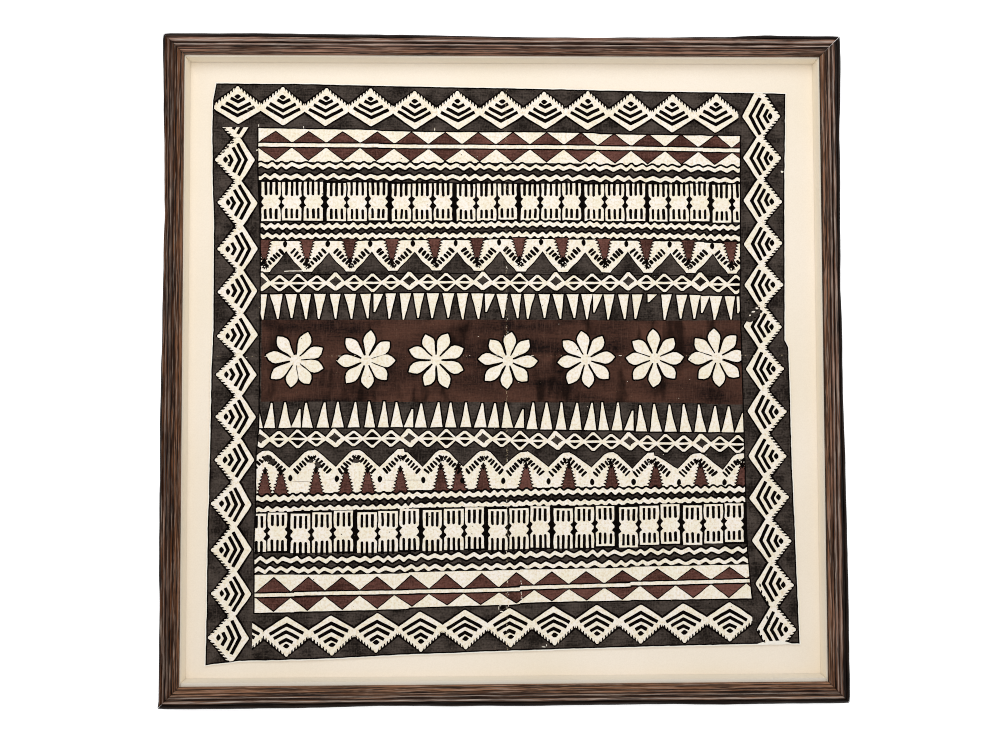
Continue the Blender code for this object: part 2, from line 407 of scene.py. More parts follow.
def comb_unit(x, top, star, base, open_top, open_base):
    """A comb of three dark bars above and below a star-sided middle."""
    half = COMB_HALF + near(0.25)
    side = [(0, 6.6), (-1.1, 5.2), (-2.5, 4.0), (-1.6, 2.6), (-0.1, 0.9)]
    side += [(dx, -dy) for dx, dy in reversed(side)]
    upper, lower = (top + star) / 2 + 3, (base + star) / 2 - 3
    outline = [(x + half, base), (x + half + near(0.45), lower)]
    outline += [(x + half + dx + near(0.25), star + dy + near(0.3)) for dx, dy in reversed(side)]
    outline += [(x + half + near(0.45), upper), (x + half, top), (x - half, top), (x - half + near(0.45), upper)]
    outline += [(x - half - dx + near(0.25), star + dy + near(0.3)) for dx, dy in side]
    outline += [(x - half + near(0.45), lower), (x - half, base)]
    bars = []
    for place in (-5.4, 0.0, 5.4):
        for up in (True, False):
            bar_x, lean = x + place + near(0.3), near(0.35)
            half_bar = 1.4 + near(0.15)
            end, is_open, turn = (top, open_top, 1) if up else (base, open_base, -1)
            far = end + 2.5 * turn if is_open else end - 2.0 * turn + near(0.3)
            close = star + 7.2 * turn + near(0.6)
            point = close - 0.9 * turn
            bars.append(round_off([
                (bar_x - half_bar, far), (bar_x + half_bar, far), (bar_x + half_bar + lean, close),
                (bar_x + lean, point), (bar_x - half_bar + lean, close),
            ], 0.4))
    return outline, bars


def comb_band(starts, top, star, base, open_top, open_base, tilt):
    """A row of combs in groups of three, each group a little askew: tilt is its rise from comb to comb."""
    made = []
    for start in starts:
        for i in range(3):
            x = start + FIRST_COMB + COMB_SPACING * i + near(0.3)
            if -262 < x < 258:
                rise = tilt * (i - 1.4)
                heights = [level(name, x) + rise + near(0.35) for name in (top, star, base)]
                made.append(comb_unit(x, *heights, open_top(x), open_base(x)))
    paint(INK, strip((top, 1.4), (base, -1.4), -256, 254))
    paint(NATURAL, *[outline for outline, _ in made])
    for _, bars in made:
        paint(INK, *bars)


def notched_leaf(x, base, tip, half, lean):
    """A brown leaf with saw teeth on both sides, from its wide base to its dark tip."""
    right, left, teeth = [], [], 8
    for i in range(teeth):
        for share, out in ((i / teeth, -0.9), ((i + 0.4) / teeth, 1.1), ((i + 0.65) / teeth, -0.9)):
            y = base + (tip - base) * share * 0.96
            tooth = out * (0.95 + near(0.2)) * (1.15 - share * 0.6)
            wide = max(0.5, 0.6 + (half - 0.6) * (1 - share) + tooth)
            right.append((x + lean * share + wide, y + near(0.2)))
            left.append((x + lean * share - wide, y + near(0.2)))
    paint(BROWN, right + left[::-1], rim=0.9)
    x, stem = x + lean, base + (tip - base) * 0.78
    paint(INK, [(x - 0.9, tip), (x + 0.9, tip), (x + 1.4, stem), (x, stem - (tip - base) * 0.06), (x - 1.4, stem)])


def drop(x, y, down):
    """A dark seed with a thin stalk, its stalk up or down."""
    sign = 1 if down else -1
    shape = (
        (-0.7, 3.4), (-2.2, 1.6), (-2.2, -0.9), (-0.8, -3.2), (0.8, -3.2), (2.2, -0.9), (2.2, 1.6), (0.7, 3.4),
    )
    paint(INK, round_off([(x + u + near(0.2), y + sign * v) for u, v in shape], 0.5))


def dark_star(x, y):
    """The knot of dye where the strokes of two limbs meet: a ragged star with a hole or two."""
    spokes = 8
    points = []
    for i in range(spokes * 2):
        far = (4.2 + near(0.9)) if i % 2 else 2.5 + near(0.4)
        angle = math.pi * i / spokes + near(0.1)
        points.append((x + far * math.cos(angle), y + far * 0.85 * math.sin(angle)))
    paint(INK, points)
    paint(NATURAL, fleck(x + near(2.0), y + near(1.5), 0.8, 0.6), fleck(x + near(2.5), y + near(2.0), 0.6, 0.8))


def arc_band():
    """Scallops that hang from the top: cream limbs with dark strokes, brown saw-toothed leaves between them."""
    top = lambda x: level("arc_top", x)
    end = lambda x: level("arc_end", x)
    paint(NATURAL, strip(("arc_top", 0), ("arc_end", 0), -256, 250), rim=1.2)
    leaves = spread(12, -243.9, 232.2, -0.3)
    peaks = spread(11, -221.9, 213.7, -0.5) + [254.0]
    feet = [x + 1.5 + near(0.8) for x in leaves] + [276.0]
    for i, peak in enumerate(peaks):
        a, b = feet[i] + 4.0, feet[i + 1] - 4.0
        high, low = level("arc_peak", peak) + near(0.7), end(peak) - 2.5
        shoulder = high - (high - low) * 0.46
        tent = [
            (a, low), (b, low), (b - (b - peak) * 0.2, low + 5.0), (peak + (b - peak) * 0.42, shoulder),
            (peak + 0.3, high), (peak - (peak - a) * 0.42, shoulder), (a + (peak - a) * 0.2, low + 5.0),
        ]
        paint(CHARCOAL, tent, rim=1.1)
    for x in leaves:
        notched_leaf(x, top(x) + 1.5, top(x) - 24.0 + near(1), 6.6, 0.5 + near(0.8))
        for turn, count, far, down, step_x, step_y in (
            (1, 6, 17.2, 10.6, 2.95, 2.85), (-1, 5, 13.6, 10.2, 2.9, 3.1),
        ):
            for i in range(count):
                at = (x + turn * (far - step_x * i) + near(0.4), top(x) - down - step_y * i + near(0.5))
                size = (turn * (-44 + near(8)), 6.9 - 0.4 * i + near(0.6), 3.1 + near(0.4))
                paint(INK, slanted_bar(*at, *size))
        dark_star(x + 1.3, top(x) - 25.6)
    for peak in peaks[:-1]:
        drop(peak - 0.9 + near(0.5), top(peak) - 3.2, True)
    paint(NATURAL, [(-223.5, 97.4), (-195, 98.2), (-193.5, 99.6), (-196, 99.3), (-223.5, 98.3)])


def arch_band():
    """The lower scallops, turned up: arches with dark strokes over brown saw-toothed leaves."""
    end = lambda x: level("arch_end", x)
    tops = (-241, -195, -150, -104.5, -63, -21, 20, 63.3, 108, 149, 196, 240)
    valleys = (-217.5, -170.5, -126.5, -83, -42.2, -1.5, 44.5, 88, 129.5, 176, 222)
    outline = [(x, end(x)) for x in range(-256, 258, 8)]
    ridge = [(-262, level("arch_valley", -250))]
    for i, x in enumerate(tops):
        y = level("arch_top", x) + near(0.4)
        slip = chance.choice((0.0, 0.4, -0.4, 2.4))
        ridge += [
            (x - 7, y - 2.6), (x - 3.5, y - 0.5 + slip * 0.4), (x + 2.5, y + slip * 0.4), (x + 3.0, y - slip),
            (x + 6.5, y - 1.9 - slip * 0.5),
        ]
        if i < len(valleys):
            ridge.append((valleys[i], level("arch_valley", valleys[i]) + near(0.5)))
    ridge.append((258, level("arch_valley", 245)))
    paint(NATURAL, outline + ridge[::-1], rim=1.2)
    for x in (
        -242.4, -226, -190.3, -160.3, -138.0, -105.0, -64.3, -46.2, -21.8, 21.3, 64.7, 108.6, 152.9, 199.6, 241.5,
    ):
        notched_leaf(x, end(x) - 1.0, end(x) + 26.5 + near(1.0), 6.9, near(0.8))
    for x in tops:
        y = level("arch_top", x)
        for step in range(6):
            for turn in (-1, 1):
                at = (x + 0.5 + turn * (2.7 + 2.75 * step) + near(0.4), y - 7.5 - 2.75 * step + near(0.5))
                size = (46 * turn + near(8), 5.2 + 0.4 * step + near(0.6), 2.8 + near(0.4))
                paint(INK, slanted_bar(*at, *size))
        dark_star(x + near(0.8), y - 8.6 + near(0.4))
    # Where the dye has run together under the first arches
    for spot in (
        (-238.5, -91.5, 4.6, 3.4), (-234.6, -95.0, 3.8, 3.6), (-196.0, -94.0, 3.0, 2.2), (-188.5, -98.5, 3.2, 3.0),
        (-150.0, -94.5, 3.4, 2.4),
    ):
        paint(CHARCOAL, fleck(*spot), rim=0.6)
    # An old crease across them
    for start, stop, y in ((-218, -190, -115.4), (-180, -160, -112.8), (-125, -76, -114.2), (-66, -52, -114.0)):
        middle = (start + stop) / 2
        paint(BROWN, [(start, y), (middle, y - 0.1), (stop, y), (middle, y + 0.4)])
    for x in (-216.4, -169.5, -126.1, -82.4, -42.9, -1.5, 44.5, 88.6, 130.8, 177.1, 223.5):
        drop(x, level("arch_dot", x) + 0.6, chance.random() < 0.5)


def lozenge_chain(name, rise, split):
    """A chain of lozenges: three with a cream line across, then an open one, printed a little high or split."""
    places = [-246.6] + spread(26, -228.0, 237.5, 1.5)
    outlines, marks, open_marks = [], [], []
    for i, x in enumerate(places):
        kind = (i + 3) % 4
        y = level(name, x)
        height, half = (7.9, 9.4, 7.9, 9.0)[kind] + near(0.3), 9.45
        high, low, skew = y, y, 0.0
        if kind == 3:
            high, low, skew = y + rise, y + rise * 0.7, split + near(0.3)
        outlines.append([
            (x + half, y - 1.7), (x + half, y + 1.5), (x + 1.3 - skew, high + height), (x - 1.3 - skew, high + height),
            (x - half, y + 1.5), (x - half, y - 1.7), (x - 1.3 + skew, low - height), (x + 1.3 + skew, low - height),
        ])
        if kind == 3:
            middle, dx = y + rise, near(0.3)
            open_marks.append([
                (x - 6.2 + dx, middle), (x - 1.9 + dx, middle + 2.9), (x - skew * 0.8, middle + 5.1),
                (x + 6.2 + dx, middle - skew * 0.3), (x + 1.9, middle - 3.1), (x + skew * 0.8, middle - 5.3),
            ])
        else:
            wide, tall = (7.1, 5.3) if kind == 1 else (5.3, 4.0)
            for turn in (1, -1):
                marks.append([
                    (x - wide + near(0.3), y + turn * 1.15), (x + wide + near(0.3), y + turn * 1.15),
                    (x + 0.9, y + turn * (1.15 + tall)), (x - 0.9, y + turn * (1.15 + tall)),
                ])
    paint(NATURAL, *outlines, rim=1.5)
    paint(INK, *marks)
    paint(CHARCOAL, *[swell(mark, -0.5) for mark in open_marks], rim=0.5)


def spike_row(places, base, tip):
    """Tall narrow spikes from one band to another. A place with a turn, and maybe a share of the length, is a short
    half spike where two stencils meet."""
    outlines = []
    for place in places:
        x, turn, *length = place if isinstance(place, tuple) else (place, 0)
        top, foot = level(base, x), level(tip, x)
        if turn:
            point = x + 3.9 * turn
            foot = top + (foot - top) * (length[0] if length else 0.72)
            outlines.append([(x - 4.8, top), (x + 4.8, top), (point + 0.7, foot), (point - 0.7, foot)])
            continue
        wide = 5.8 + near(0.5)
        lean, foot = near(2.4), foot + (top - foot) * chance.uniform(-0.02, 0.05)
        waist, point = top + (foot - top) * 0.45, x + lean
        outlines.append([
            (x - wide, top), (x + wide, top), (x + lean * 0.5 + wide * 0.58 + near(0.3), waist), (point + 0.7, foot),
            (point - 0.7, foot), (x + lean * 0.5 - wide * 0.58 + near(0.3), waist),
        ])
    paint(NATURAL, *outlines, rim=1.5)


def petal(x, y, angle, reach, wide):
    """One petal from the flower's centre, widest towards its pointed end."""
    half = ((0, 1.0), (5, 1.4), (10, 3.0), (15, 5.0), (19, 6.3), (22.5, 6.2), (26.3, 4.1))
    lower = [(r * reach / 30, -w * wide + near(0.15)) for r, w in half]
    upper = [(r * reach / 30, w * wide + near(0.15)) for r, w in half]
    return turned(lower + [(reach, near(1.6))] + upper[::-1], x, y, angle)


# Flowers: centre, and the directions of the petals in degrees
FLOWERS = (
    (-211.5, 7.5, (171, 126, 63, 21, -18.5, -60, -101, -143.5)),
    (-140.0, 7.0, (81, 38, 0, -43, -88, -132, 180, 134)),
    (-69.5, 7.3, (68, 23, -22, -67, -112, -157, 158, 113)),
    (3.5, 6.5, (84, 41, -4, -48, -94, -138, 176, 131)),
    (83.0, 7.5, (97, 52, 6, -38, -83, -128, -173, 142)),
    (153.5, 8.5, (94, 44, -1, -43, -91, -137, 180, 140)),
    (217.5, 9.0, (98, 50, 5, -42, -86, -130, 180, 141)),
)


def flower_band():
    paint(GROUND, strip(("ground_top", 0), ("ground_end", 0), -246.0, 243.5))
    outlines = []
    for x, y, angles in FLOWERS:
        for angle in angles:
            reach = 29.5 + near(1.5)
            cut = petal(x, y, angle + near(1.4), reach, 0.97 + near(0.04))
            outlines.append(round_off(cut, 0.45))
        outlines.append([(x + 5.6 * math.cos(a * 0.52), y + 5.6 * math.sin(a * 0.52)) for a in range(12)])
    paint(NATURAL, *outlines, rim=1.7)


def field_margins():
    """The border's dark ground up to the field's edges, over all that runs past them."""
    far = 330
    left = [(x, y) for y, x in FIELD_LEFT]
    right = [(x, y) for y, x in FIELD_RIGHT]
    across = [-far, *range(-252, 252, 8), far]
    for dye, back in ((INK, 0.0), (CHARCOAL, 1.4)):
        paint(dye, [(-far, -far), *[(x - back, y) for x, y in left], (-far, far)])
        paint(dye, [(far, -far), (far, far), *[(x + back, y) for x, y in reversed(right)]])
        for name, up in (("field_top", 1), ("low_leaf_end", -1)):
            edge = [(x, level(name, max(-256, min(250, x))) + back * up) for x in across]
            paint(dye, [*edge, (far, far * up), (-far, far * up)])


def fleck(x, y, wide, tall):
    """A ragged spot, for dye that has come off or dripped."""
    points = []
    for i in range(7):
        far = chance.uniform(0.55, 1.15)
        points.append((x + wide * far * math.cos(i * 0.9), y + tall * far * math.sin(i * 0.9)))
    return points


def spots(dye, *places):
    """Ragged spots of one dye, each place with its half width and half height."""
    paint(dye, *[fleck(*place) for place in places])


def worn_spots():
    """Where the dye has cracked off along the old folds and been rubbed elsewhere, and where it has dripped."""
    for _ in range(110):
        y = chance.uniform(-272, 282)
        if y > -110 and chance.random() < 0.7:
            continue
        spots(NATURAL, (FOLD_X + chance.gauss(0, 0.9), y, chance.uniform(0.15, 0.45), chance.uniform(0.5, 1.9)))
    for _ in range(24):
        spots(NATURAL, (chance.uniform(-285, 285), FOLD_Y + chance.gauss(0, 0.5), chance.uniform(0.5, 2.0), 0.35))
    for _ in range(14):
        spots(NATURAL, (16.9 + chance.gauss(0, 0.5), chance.uniform(-238, -202), 0.4, chance.uniform(0.5, 1.2)))
    for _ in range(40):
        size = chance.uniform(0.15, 0.4)
        spots(NATURAL, (chance.uniform(-288, 286), chance.uniform(-278, 280), size * 2, size))
    # Ticks and smudges that the printer left, and the rubbed diamond at the right
    paint(CHARCOAL, [(247, 46.5), (251.5, 45), (256.5, 47), (259.5, 51.5), (262, 57), (261.5, 63), (256, 63)])
    spots(
        NATURAL, (258.8, 59.4, 1.9, 1.2), (262.6, 53.6, 1.2, 1.8), (260.8, 61.8, 1.3, 0.9), (-204.2, 245.6, 0.5, 1.7),
        (-70.7, 243.4, 0.5, 2.0), (-250.2, 247.0, 0.5, 1.9), (286.5, 200.4, 1.6, 1.3), (-251.5, 222.0, 0.9, 0.9),
        (255.0, 56.0, 2.4, 0.8), (251.6, 52.5, 1.4, 1.1),
    )
    # Bare fibre under the lower right corner, a dried drip with a bare ring below the field
    paint(FRAYED, [(250, -282.3), (262, -278.6), (277, -277.7), (289, -279.6), (299, -286), (250, -290)])
    paint(INK, [(283, -278.6), (292, -279.2), (301, -284.4), (299.6, -285.4), (290, -280.6)])
    spots(
        NATURAL, (-6.4, -243.2, 0.6, 2.4), (-3.6, -246.6, 2.4, 0.6), (-4.6, -240.9, 1.4, 0.5),
        (38.6, -282.2, 2.6, 0.6), (41.6, -280.6, 0.6, 1.2),
    )
    spots(INK, (-2.4, -242.8, 2.7, 2.6))
    # Dark spots, each with the cloth bare beside it
    for x, y in ((-281.5, 225.0), (-286.0, 220.5), (-276.5, 229.5), (-280.5, 208.0), (-256.0, 266.0), (-261.0, 262.5)):
        spots(CHARCOAL, (x, y, 1.9, 1.6))
        spots(NATURAL, (x + near(2.0), y + near(2.0), 1.0, 0.7))
    for x, y in (
        (258.5, -222.0), (260.3, -228.5), (263.0, -235.0), (266.2, -240.0), (257.0, -268.5),
        (259.5, -273.5), (262.5, -278.0), (265.5, -254.5), (268.0, -260.5),
    ):
        spots(INK, (x, y, 1.3, 2.3))
        spots(NATURAL, (x + 1.2 + near(0.6), y + 0.8 + near(1.5), 0.55, 1.1))
    spots(INK, (45.8, -280.0, 1.1, 0.9), (254.3, 60.0, 2.2, 0.7), (256.5, 50.0, 1.5, 0.8), (258.5, 57.5, 1.8, 0.7))
    for _ in range(110):
        size = chance.uniform(0.25, 0.8)
        spots(INK, (chance.uniform(-250, 245), chance.uniform(-250, 245), size, size))


def paint_everything():
    # The soot stops short of the torn edge, and lies thicker along it
    edge = swell(cloth_outline(), 0.3)
    paint(NATURAL, edge)
    paint(INK, swell(edge, -1.1))
    paint(CHARCOAL, swell(edge, -2.5))
    leaf_band(
        spread(14, -233.5, 217.4, 0.1) + [252.0], 17.3, 250.0, (("field_top", 3), ("leaf_end", 0)),
        "leaf_line", 2.4, (("leaf_up_tip", 0), ("leaf_down_tip", 0)), -1.8,
    )
    waving_line("zigzag_a", 4.0, (10.2, 13.7), 1.75)
    waving_line("zigzag_b", 4.0, (10.2, 13.7), 1.75)
    never, always = (lambda x: False), (lambda x: True)
    comb_band(spread(8, -248.8, 212.0, 0.7), "comb_top", "comb_star", "comb_end", always, never, 0.4)
    waving_line("ripple_a", 4.3, (8.3,), 1.6)
    waving_line("ripple_b", 4.3, (8.3,), 1.6)
    arc_band()
    lozenge_chain("chain", 1.8, 0.0)
    spikes = (
        -246, -231.4, -216.3, -202, -187.1, -171.8, -156.6, -141.1, (-128.1, -1), -115.5, -100.5, -87.1, -72.6,
        -57, -42.6, -27.5, (-14.7, -1), -2.3, 12, 25.6, 40.8, 54.9, 69.8, 84.5, (95.5, -1), 107, 121.8, 136,
        (151.3, -1, 0.3), 165.9, 181.6, 195.2, (205.8, -1), 216.6, 231, (243, -1),
    )
    spike_row(spikes, "spike_top", "spike_tip")
    flower_band()
    thorns = (
        -250, -237.6, -222, (-211, 1), -199.5, -183.9, -169, -152.8, -136.6, -122.9, -109.2, (-97.3, 1), -85, -69.2,
        -54.6, -39.4, -24.7, -11.4, 2.8, (14.8, 1), 27.7, 42.2, 57.1, 72, 86.7, 100.6, 114.4, (126.4, 1), 139.3, 154.1,
        169.1, 184.4, 199.4, 213.5, 227.3, (239.3, 1),
    )
    spike_row(thorns, "thorn_base", "thorn_tip")
    lozenge_chain("low_chain", 0.9, 1.3)
    arch_band()
    waving_line("low_ripple_a", 4.6, (8.5,), 1.6)
    waving_line("low_ripple_b", 4.6, (8.5,), 1.6)
    comb_band(
        [-283.3] + spread(8, -217.3, 244.4, 0.9),
        "low_comb_top", "low_comb_star", "low_comb_end", never, lambda x: x < 90, 0.9,
    )
    waving_line("low_zigzag_a", 4.1, (10.5, 14.0), 1.85)
    waving_line("low_zigzag_b", 4.1, (10.5, 14.0), 1.85)
    leaf_band(
        spread(14, -232.8, 226.8, -3.4) + [262.0], 17.9, 255.0, (("low_leaf_top", 0), ("low_leaf_end", 0)),
        "low_leaf_line", 2.3, (("low_leaf_top", -2.0), ("low_leaf_end", 0.5)), -1.6,
    )
    field_margins()
    paint_border()
    worn_spots()


def cut_by_hand(x, y):
    """Where a drawn point lands on the cloth: stencils are cut by hand and the bark creeps as it dries."""
    placed_x, placed_y = x, y
    for reach, wave, depth in WAVER:
        drift = noise.noise_vector(Vector((x / wave, y / wave, depth)))
        placed_x, placed_y = placed_x + reach * drift.x, placed_y + reach * drift.y
    return Vector((placed_x, placed_y))


def in_steps(corners, step):
    """The outline with long sides split, so that it can waver."""
    points = []
    for (ax, ay), (bx, by) in zip(corners, corners[1:] + corners[:1]):
        count = max(1, math.ceil(math.hypot(bx - ax, by - ay) / step))
        points += [(ax + (bx - ax) * i / count, ay + (by - ay) * i / count) for i in range(count)]
    return points


def lift(x, y):
    """Height of the cloth's underside above its lowest place: low waves, two old folds, fine cockling."""
    height = 0.0
    for size, wave_x, wave_y, phase in WAVES:
        height += size * (1 + math.sin(2 * math.pi * (x / wave_x + y / wave_y) + phase)) / 2
    for away, ridge in ((abs(x - FOLD_X), 0.5), (abs(y - FOLD_Y), 0.4)):
        height += ridge * math.exp(-away / 2.6)
    height += 0.12 * (1 + noise.noise(Vector((x / 26.0, y / 34.0, 5.0))))
    return height


def make_mesh(name, points, faces):
    mesh = bpy.data.meshes.new(name)
    mesh.from_pydata(points, [], faces)
    mesh.validate()
    piece = bpy.data.objects.new(name, mesh)
    bpy.context.collection.objects.link(piece)
    return piece


def make_cloth():
    """Cut the whole painting into one sheet of triangles, and sort them by the dye that lies on top of each."""
    points, faces = [], []
    for _, outline in painting:
        if signed_area(outline) < 0:
            outline = outline[::-1]
        placed = [cut_by_hand(x, y) for x, y in in_steps(outline, LONGEST_SIDE)]
        faces.append(list(range(len(points), len(points) + len(placed))))
        points += placed
    for i in range(-60, 61):
        for j in range(-59, 60):
            points.append(Vector((i * FACE_GRID + near(0.8), j * FACE_GRID + near(0.8))))
    flat, _, cut, _, _, sources = geometry.delaunay_2d_cdt(points, [], faces, 0, 1e-4, True)
    height = [CLOTH_BASE + lift(p.x, p.y) for p in flat]
    dyes = {dye: [] for dye in (NATURAL, CHARCOAL, INK, BROWN, GROUND, FRAYED)}
    # The first three outlines are the whole sheet, the frayed edge's inner side and the thick soot's
    for triangle, held_by in zip(cut, sources):
        if 0 not in held_by:
            continue
        dye = painting[max(held_by)][0] if 1 in held_by else FRAYED
        if dye == CHARCOAL and 2 not in held_by:
            dye = INK
        dyes[dye].append(triangle)
    whole = [t for dye in dyes for t in dyes[dye]]
    return flat, height, dyes, whole


def cut_face(flat, height, triangles, above):
    """The points and faces of some of the cut triangles, so far above the cloth's underside."""
    used = sorted({i for t in triangles for i in t})
    renumbered = {old: new for new, old in enumerate(used)}
    points = [(flat[i].x * MM, flat[i].y * MM, (height[i] + above) * MM) for i in used]
    return points, [[renumbered[i] for i in t] for t in triangles]


def closed_sheet(name, flat, height, triangles):
    """The bare cloth: the cut upper face, a plain underside and the rim between them."""
    points, faces = cut_face(flat, height, triangles, CLOTH_THICKNESS)
    sides = {(f[i], f[(i + 1) % 3]) for f in faces for i in range(3)}
    follows = {a: b for a, b in sides if (b, a) not in sides}
    start = next(iter(sorted(follows)))
    rim = [start]
    while follows[rim[-1]] != start:
        rim.append(follows[rim[-1]])
    edge = [Vector((points[i][0] / MM, points[i][1] / MM)) for i in rim]
    inside = [Vector((i * UNDER_GRID, j * UNDER_GRID)) for i in range(-19, 20) for j in range(-19, 20)]
    under, _, cut, _, _, sources = geometry.delaunay_2d_cdt(
        edge + inside, [], [list(range(len(edge)))], 0, 1e-5, True,
    )
    base = len(points)
    points += [(p.x * MM, p.y * MM, (CLOTH_BASE + lift(p.x, p.y)) * MM) for p in under]
    for triangle, held_by in zip(cut, sources):
        if held_by:
            faces.append([base + i for i in reversed(triangle)])
    for i, a in enumerate(rim):
        j = (i + 1) % len(rim)
        faces.append([a, base + i, base + j, rim[j]])
    return make_mesh(name, points, faces)


def linear(colour):
    """An sRGB hex colour as the linear values that a shader takes."""
    parts = [int(colour[i:i + 2], 16) / 255 for i in (1, 3, 5)]
    return (*[c / 12.92 if c <= 0.04045 else ((c + 0.055) / 1.055) ** 2.4 for c in parts], 1.0)


def fill(tree, node, inputs):
    """Give a node its values and links."""
    for socket, value in inputs.items():
        if isinstance(value, bpy.types.NodeSocket):
            tree.links.new(value, node.inputs[socket])
        else:
            node.inputs[socket].default_value = value


def add(tree, kind, inputs=None, **settings):
    """Add a shader node with its settings, values and links."""
    made = tree.nodes.new("ShaderNode" + kind)
    for name, value in settings.items():
        setattr(made, name, value)
    fill(tree, made, inputs or {})
    return made


def new_material(name):
    """A material with its Principled shader, and its coordinates in millimetres."""
    made = bpy.data.materials.new(name)
    made.use_nodes = True
    tree = made.node_tree
    shader = tree.nodes["Principled BSDF"]
    place = add(tree, "TexCoord").outputs["Object"]
    place = add(tree, "VectorMath", {0: place, 1: (1000, 1000, 1000)}, operation="MULTIPLY").outputs[0]
    return made, tree, shader, place


def stained(tree, colour, *stains):
    """A colour with tints laid over it. Each stain is a pattern, where in it the tint begins and ends, the tint's share
    before and after that, and the tint."""
    for pattern, start, end, before, after, tint in stains:
        share = add(tree, "MapRange", {0: pattern, 1: start, 2: end, 3: before, 4: after}).outputs[0]
        colour = add(tree, "Mix", {0: share, 6: colour, 7: linear(tint)}, data_type="RGBA").outputs[2]
    return colour


def away_from(tree, value, line):
    """How far a value is from a line, on either side of it."""
    away = add(tree, "Math", {0: value, 1: line}, operation="SUBTRACT").outputs[0]
    return add(tree, "Math", {0: away}, operation="ABSOLUTE").outputs[0]


def fibres(tree, place, *scales):
    """Fibres of beaten bark, one pattern for each pair of scales, and the felted relief that two of them make."""
    patterns = []
    for scale in scales:
        drawn = add(tree, "VectorMath", {0: place, 1: (*scale, 1.0)}, operation="MULTIPLY").outputs[0]
        values = {"Vector": drawn, "Scale": 1.0, "Detail": 4.0, "Roughness": 0.6}
        patterns.append(add(tree, "TexNoise", values).outputs[0])
    felt = add(tree, "Math", {0: patterns[0], 1: patterns[1]}, operation="ADD").outputs[0]
    return *patterns, felt


def bark_material():
    """Beaten inner bark of the paper mulberry: felted cream fibre, matt, with long fibres and faint stains."""
    made, tree, shader, place = new_material("beaten_mulberry_bark")
    # Fibres run up the cloth, 0.5 to 1 mm apart and tens of millimetres long; drawn a little coarse to show
    fibre, weft, felt = fibres(tree, place, (0.9, 0.07), (0.08, 0.8))
    stain = add(tree, "TexNoise", {"Vector": place, "Scale": 0.06, "Detail": 3.0}).outputs[0]
    mottle = add(tree, "TexNoise", {"Vector": place, "Scale": 0.4, "Detail": 3.0}).outputs[0]
    speck = add(tree, "TexNoise", {"Vector": place, "Scale": 0.9, "Detail": 2.0}).outputs[0]
    colour = stained(
        tree, linear("#fbf3e9"),
        (stain, 0.35, 0.65, 0.0, 1.0, "#f5edd8"), (mottle, 0.45, 0.68, 0.0, 0.65, "#e0caa2"),
        (weft, 0.56, 0.72, 0.0, 0.5, "#e8cfae"), (fibre, 0.52, 0.72, 0.0, 0.6, "#fffaf0"),
        (speck, 0.69, 0.75, 0.0, 0.6, "#8a6644"),
    )
    bump = add(tree, "Bump", {"Strength": 0.5, "Distance": 0.00025, "Height": felt}).outputs[0]
    fill(tree, shader, {"Base Color": colour, "Normal": bump, "Roughness": 0.88, "Specular IOR Level": 0.2})
    return made


def dye_material(name, dark, light, worn, worn_share, patch=(0.05, 0.05), pitch=None):
    """A soot or bark dye rubbed into beaten bark: matt, cloudy, thin where the fibres stand up."""
    made, tree, shader, place = new_material(name)
    fibre, weft, felt = fibres(tree, place, (0.9, 0.08), (0.07, 0.75))
    # Clouds of thicker and thinner dye, tens of millimetres across, with a grain of 2 mm over them
    cloud = add(tree, "VectorMath", {0: place, 1: (*patch, 1.0)}, operation="MULTIPLY").outputs[0]
    cloud = add(tree, "TexNoise", {"Vector": cloud, "Scale": 1.0, "Detail": 4.0}).outputs[0]
    grain = add(tree, "TexNoise", {"Vector": place, "Scale": 0.5, "Detail": 3.0}).outputs[0]
    both = add(tree, "Math", {0: weft, 1: grain}, operation="ADD").outputs[0]
    # The broad dye of the flower band is less even, and shows less of the fibre
    clouding = 3.0 if pitch else 1.6
    middle = 1.03 + 0.5 * clouding
    both = add(tree, "Math", {0: cloud, 1: clouding, 2: both}, operation="MULTIPLY_ADD").outputs[0]
    colour = stained(
        tree, linear(dark),
        (both, middle - 0.2 * clouding, middle + 0.2 * clouding, 0.0, 1.0, light), (fibre, 0.52, 0.75, 0.0, 0.45, worn),
    )
    if pitch:
        # Upright smears of soot over the brown
        smear = add(tree, "VectorMath", {0: place, 1: (0.045, 0.014, 1.0)}, operation="MULTIPLY").outputs[0]
        smear = add(tree, "TexNoise", {"Vector": smear, "Scale": 1.0, "Detail": 3.0, "Roughness": 0.55}).outputs[0]
        colour = stained(tree, colour, (smear, 0.53, 0.64, 0.0, 0.75, pitch))
    # Specks a millimetre across where the dye has come off, closest together along the old fold lines
    speck = add(tree, "TexNoise", {"Vector": place, "Scale": 0.75, "Detail": 2.5, "Roughness": 0.7}).outputs[0]
    apart = add(tree, "SeparateXYZ", {0: place})
    for axis, fold, wide, raised in ((0, FOLD_X, 2.6, 0.16), (1, FOLD_Y, 1.5, 0.12)):
        away = away_from(tree, apart.outputs[axis], fold)
        by_fold = add(tree, "MapRange", {0: away, 1: 0.3, 2: wide, 3: raised, 4: 0.0}).outputs[0]
        speck = add(tree, "Math", {0: speck, 1: by_fold}, operation="ADD").outputs[0]
    colour = stained(tree, colour, (speck, 0.71, 0.8, 0.0, worn_share, "#d3bd99"))
    bump = add(tree, "Bump", {"Strength": 0.45, "Distance": 0.00025, "Height": felt}).outputs[0]
    fill(tree, shader, {"Base Color": colour, "Normal": bump, "Roughness": 0.85, "Specular IOR Level": 0.02})
    return made


